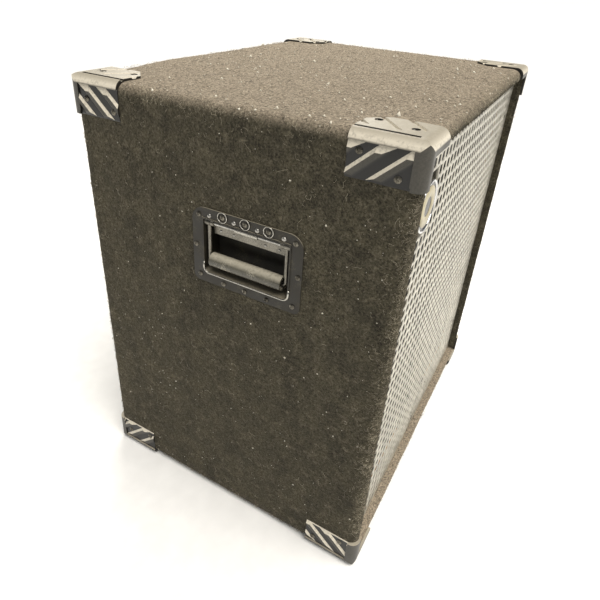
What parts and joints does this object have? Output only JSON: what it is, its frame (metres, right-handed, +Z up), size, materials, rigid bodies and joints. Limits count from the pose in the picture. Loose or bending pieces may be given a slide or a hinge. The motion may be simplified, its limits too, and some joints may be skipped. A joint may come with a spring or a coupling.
{
  "type": "pa speaker cabinet",
  "caption": "Carpet-covered two-way loudspeaker cabinet with stacking corners, recessed spring-return side handles and a perforated steel grille.",
  "frame": {"origin": "middle of the footprint, on the surface the bottom corner protectors stand on", "axes": "+Z up, the grille faces -Y, the connection dish faces +Y, the handles are on -X and +X"},
  "size_m": [0.587, 0.456, 0.628],
  "materials": {
    "plywood": "bare birch plywood",
    "carpet": "needle-punched speaker carpet",
    "moulded_corner": "moulded black plastic, satin",
    "zinc_steel": "zinc-plated steel",
    "silver_grille": "perforated steel, silver lacquer",
    "black_steel": "black powder-coated steel",
    "bare_steel": "drawn steel",
    "rubber": "hard black rubber",
    "paper_cone": "pressed paper pulp, black",
    "treated_cloth": "doped cloth",
    "ferrite": "ferrite ring and steel plates",
    "copper": "enamelled copper wire",
    "black_plastic": "moulded black plastic",
    "badge_metal": "plated plastic",
    "circuit_board": "glass-epoxy board",
    "component_cases": "wound and dipped parts",
    "wire_sheath": "PVC sheath",
    "wadding": "polyester wadding",
    "hook_tape": "hook-and-loop tape"
  },
  "bodies": {
    "cabinet": {"top_panel": "plywood", "bottom_panel": "plywood", "left_side_panel": "plywood", "right_side_panel": "plywood", "back_panel": "plywood", "baffle_board": "plywood", "back_battens": "plywood", "side_brace": "plywood", "carpet_wrap": "carpet", "back_carpet": "carpet", "back_panel_screws": "black_steel", "protector_top_front_left": "moulded_corner", "protector_top_front_right": "moulded_corner", "protector_top_back_left": "moulded_corner", "protector_top_back_right": "moulded_corner", "protector_bottom_front_left": "moulded_corner", "protector_bottom_front_right": "moulded_corner", "protector_bottom_back_left": "moulded_corner", "protector_bottom_back_right": "moulded_corner", "protector_screws": "zinc_steel", "grille": "silver_grille", "grille_fastener_pads": "hook_tape", "badge": "badge_metal", "woofer_basket": "black_steel", "woofer_magnet": "ferrite", "woofer_surround": "treated_cloth", "woofer_spider": "treated_cloth", "horn_flare": "black_plastic", "compression_driver": "ferrite", "driver_screws": "black_steel", "port_tubes": "black_plastic", "left_handle_dish": "black_steel", "left_handle_hinge": "bare_steel", "left_handle_pin": "zinc_steel", "left_handle_spring": "zinc_steel", "right_handle_dish": "black_steel", "right_handle_hinge": "bare_steel", "right_handle_pin": "zinc_steel", "right_handle_spring": "zinc_steel", "handle_screws": "zinc_steel", "handle_rivets": "zinc_steel", "jack_dish": "black_steel", "jack_dish_screws": "black_steel", "input_jacks": "black_plastic", "speaker_socket": "black_plastic", "level_control": "bare_steel", "crossover_board": "circuit_board", "crossover_parts": "component_cases", "internal_wires": "wire_sheath", "damping_pads": "wadding"},
    "left_handle": {"left_handle_bail": "bare_steel", "left_handle_grip": "rubber"},
    "right_handle": {"right_handle_bail": "bare_steel", "right_handle_grip": "rubber"},
    "woofer_moving_parts": {"woofer_cone": "paper_cone", "woofer_dust_cap": "paper_cone", "woofer_voice_coil": "copper"},
    "horn_level_knob": {"level_knob": "black_plastic"}
  },
  "joints": [
    {"name": "left_handle_swing", "type": "hinge", "parent": "cabinet", "child": "left_handle", "pos_m": [-0.2845, -0.0343, 0.482], "axis": [0, 1, 0], "range_deg": [0, 90], "stiffness_Nm_per_rad": 0.5, "springref_deg": -17.19},
    {"name": "right_handle_swing", "type": "hinge", "parent": "cabinet", "child": "right_handle", "pos_m": [0.2845, -0.0343, 0.482], "axis": [0, -1, 0], "range_deg": [0, 90], "stiffness_Nm_per_rad": 0.5, "springref_deg": -17.19},
    {"name": "woofer_travel", "type": "slide", "parent": "cabinet", "child": "woofer_moving_parts", "axis": [0, -1, 0], "range_m": [-0.004, 0.004], "stiffness_N_per_m": 2500, "deforming": ["woofer_surround", "woofer_spider"]},
    {"name": "level_knob_turn", "type": "hinge", "parent": "cabinet", "child": "horn_level_knob", "pos_m": [0.046, 0.201, 0.33], "axis": [0, 1, 0], "range_deg": [0, 270]}
  ]
}
